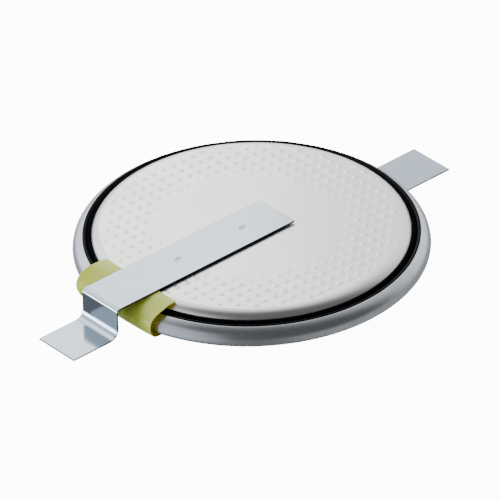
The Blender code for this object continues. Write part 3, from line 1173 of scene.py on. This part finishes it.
@dataclass
class Studio:
    """Floor, surrounding light, lamps and camera."""

    floor_level: float = low("negative_tab", 2) - 0.002
    floor_reach: float = 1500.0
    floor_glow: float = 12.0
    azimuth: float = math.radians(-40.95)
    elevation: float = math.radians(33.376)
    roll: float = math.radians(-1.383)
    distance: float = 398.1
    aim: tuple[float, float, float] = (-0.115, 0.038, -0.070)
    lens: float = 514.3
    sensor: float = 36.0

    def toward_camera(self) -> Vector:
        """Unit vector from the cell to the camera."""
        return way(self.azimuth, self.elevation)

    def add_camera(self) -> None:
        """A long lens at the viewing angle, turned a little about its own axis."""
        data = bpy.data.cameras.new("viewing_camera")
        data.lens, data.sensor_width = self.lens, self.sensor
        data.clip_start, data.clip_end = 0.01, 10.0
        camera = bpy.data.objects.new("viewing_camera", data)
        back = self.toward_camera()
        turn = back.to_track_quat("Z", "Y").to_matrix().to_4x4() @ Matrix.Rotation(self.roll, 4, "Z")
        place = Vector(self.aim) * MM + back * (self.distance * MM)
        camera.matrix_world = Matrix.Translation(place) @ turn
        bpy.context.scene.collection.objects.link(camera)
        bpy.context.scene.camera = camera

    def add_floor(self) -> None:
        """A pale glowing floor that only the camera sees, and only from above."""
        reach, level = self.floor_reach, self.floor_level
        signs = ((-1, -1), (1, -1), (1, 1), (-1, 1))
        corners = np.array([(x * reach, y * reach, level) for x, y in signs])
        mesh = Surface(corners, np.array([[0, 1, 2, 3]])).mesh("pale_floor")
        floor = bpy.data.objects.new("pale_floor", mesh)
        recipe = Recipe("floor_paper")
        tree = recipe.tree
        mottled = recipe.scaled(recipe.grain(recipe.place(Lay.EVEN), 40.0), (0.3, 0.7), (0.90, 0.92))
        recipe.set(Base_Color=recipe.between(mottled, (0.0, 0.0, 0.0), (1.0, 1.0, 1.0)), Roughness=1.0)
        recipe.set(Emission_Color=(1.0, 1.0, 1.0, 1.0), Emission_Strength=self.floor_glow)
        clear = tree.nodes.new("ShaderNodeBsdfTransparent")
        mix = tree.nodes.new("ShaderNodeMixShader")
        recipe.feed(mix.inputs[0], tree.nodes.new("ShaderNodeNewGeometry").outputs["Backfacing"])
        recipe.feed(mix.inputs[1], recipe.shader.outputs[0])
        recipe.feed(mix.inputs[2], clear.outputs[0])
        recipe.feed(tree.nodes["Material Output"].inputs["Surface"], mix.outputs[0])
        mesh.materials.append(recipe.material)
        floor.visible_glossy = False
        floor.visible_diffuse = False
        floor.visible_shadow = False
        bpy.context.scene.collection.objects.link(floor)

    def add_surround(self) -> None:
        """Light the scene from all round."""
        world = bpy.data.worlds.new("soft_surround")
        world.use_nodes = True
        bpy.context.scene.world = world
        SurroundLight(world.node_tree, self.toward_camera()).wire()

    def add_lamp(self, name: str, aim_from: Pair, reach: float, size: float, power: float) -> None:
        """A square soft lamp that points at the cell.

        Args:
            name: Name of the lamp.
            aim_from: Its azimuth and elevation in degrees, counted as the camera's are.
            reach: Distance from the cell in millimetres.
            size: Side of the lamp in millimetres.
            power: Radiant power in watts.
        """
        back = way(*map(math.radians, aim_from))
        data = bpy.data.lights.new(name, "AREA")
        data.size = size * MM
        data.energy = power
        lamp = bpy.data.objects.new(name, data)
        turn = back.to_track_quat("Z", "Y").to_matrix().to_4x4()
        lamp.matrix_world = Matrix.Translation(back * reach * MM) @ turn
        bpy.context.scene.collection.objects.link(lamp)

    def build(self) -> None:
        """Set the studio up."""
        self.add_camera()
        self.add_floor()
        self.add_surround()
        self.add_lamp("left_softbox", (190.0, 50.0), reach=400.0, size=220.0, power=0.25)
        self.add_lamp("near_softbox", (151.5, 33.4), reach=62.0, size=28.0, power=0.0045)
        log.info("studio: camera, floor, surround and softboxes")


@dataclass
class SurroundLight(Wiring):
    """Strength of the surrounding light in each direction.

    A direction has a height z, a share n along the level way to the camera, and a share to the
    camera's left. The sky is bright behind the cell, dim on the camera's side and brighter on the
    left. The ground is grey, and lighter on the right and behind on the left. A soft wall of light
    stands on the left at the camera's side, and a bright strip lies low on the left, with n near 0.
    The pairs are the ranges over which these fade in or out.
    """

    tree: bpy.types.NodeTree
    camera_way: Vector
    far_sky: float = 1.75
    near_sky: float = 0.14
    left_sky: float = 1.0
    ground: float = 0.25
    left_wall: float = 0.80
    right_ground: float = 0.25
    back_ground: float = 0.45
    strip: float = 9.0
    right_tint: Colour = (0.91, 0.98, 1.07)
    left_tint: Colour = (0.84, 0.95, 1.11)
    horizon: Pair = (-0.10, 0.06)
    far_to_near: Pair = (-0.80, 0.25)
    sky_left: Pair = (0.30, 0.80)
    sky_near: Pair = (-0.1, 0.5)
    wall_left: Pair = (0.20, 0.65)
    wall_near: Pair = (0.0, 0.45)
    wall_top: Pair = (0.45, 0.80)
    ground_right: Pair = (-0.60, -0.15)
    ground_left: Pair = (-0.2, 0.2)
    ground_far: Pair = (-0.75, -0.35)
    strip_far: Pair = (-0.35, -0.10)
    strip_near: Pair = (0.12, 0.38)
    strip_foot: Pair = (-0.28, -0.08)
    strip_top: Pair = (0.14, 0.36)
    strip_left: Pair = (0.5, 0.85)
    tint_left: Pair = (0.1, 0.8)

    def rise(self, value: Socket, over: Pair, top: float = 1.0) -> Socket:
        """From 0 smoothly up to a top, as a value crosses a range."""
        return self.scaled(value, over, (0.0, top), "SMOOTHSTEP")

    def fall(self, value: Socket, over: Pair) -> Socket:
        """From 1 smoothly down to 0, as a value crosses a range."""
        return self.scaled(value, over, (1.0, 0.0), "SMOOTHSTEP")

    def along(self, direction: Socket, way_to: Vector) -> Socket:
        """The direction's share along a way."""
        made = self.tree.nodes.new("ShaderNodeVectorMath")
        made.operation = "DOT_PRODUCT"
        self.tree.links.new(direction, made.inputs[0])
        made.inputs[1].default_value = way_to
        return made.outputs["Value"]

    def wire(self) -> None:
        """Wire the world's background to this light."""
        direction = self.tree.nodes.new("ShaderNodeTexCoord").outputs["Generated"]
        level = Vector((self.camera_way.x, self.camera_way.y, 0.0)).normalized()
        z = self.along(direction, Vector((0.0, 0.0, 1.0)))
        n = self.along(direction, level)
        left = self.along(direction, Vector((level.y, -level.x, 0.0)))
        above = self.rise(z, self.horizon)
        below = self.maths("SUBTRACT", 1.0, above)
        sky = self.total(
            self.scaled(n, self.far_to_near, (self.far_sky, self.near_sky), "SMOOTHSTEP"),
            self.product(self.rise(left, self.sky_left, self.left_sky), self.fall(n, self.sky_near)),
        )
        behind = self.product(self.rise(left, self.ground_left), self.fall(n, self.ground_far))
        ground = self.total(
            self.ground,
            self.product(self.fall(left, self.ground_right), self.right_ground),
            self.product(behind, self.back_ground),
        )
        wall = self.product(
            self.rise(left, self.wall_left, self.left_wall),
            self.rise(n, self.wall_near),
            self.fall(z, self.wall_top),
        )
        strip = self.product(
            self.product(self.rise(n, self.strip_far), self.fall(n, self.strip_near)),
            self.product(self.rise(z, self.strip_foot), self.fall(z, self.strip_top)),
            self.rise(left, self.strip_left, self.strip),
        )
        base = self.total(self.product(sky, above), self.product(ground, below))
        tint = self.between(self.rise(left, self.tint_left), self.right_tint, self.left_tint)
        background = self.tree.nodes["Background"]
        self.feed(background.inputs["Color"], tint)
        self.feed(background.inputs["Strength"], self.total(base, strip, wall))


def main() -> None:
    """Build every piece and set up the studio."""
    logging.basicConfig(level=logging.INFO, format="%(name)s: %(message)s")
    casing = Casing()
    Studio().build()
    casing.build()
    Seal(casing).build()
    Stack().build()
    Tabs().build()
    Tape(casing).build()


if __name__ == "__main__":
    main()
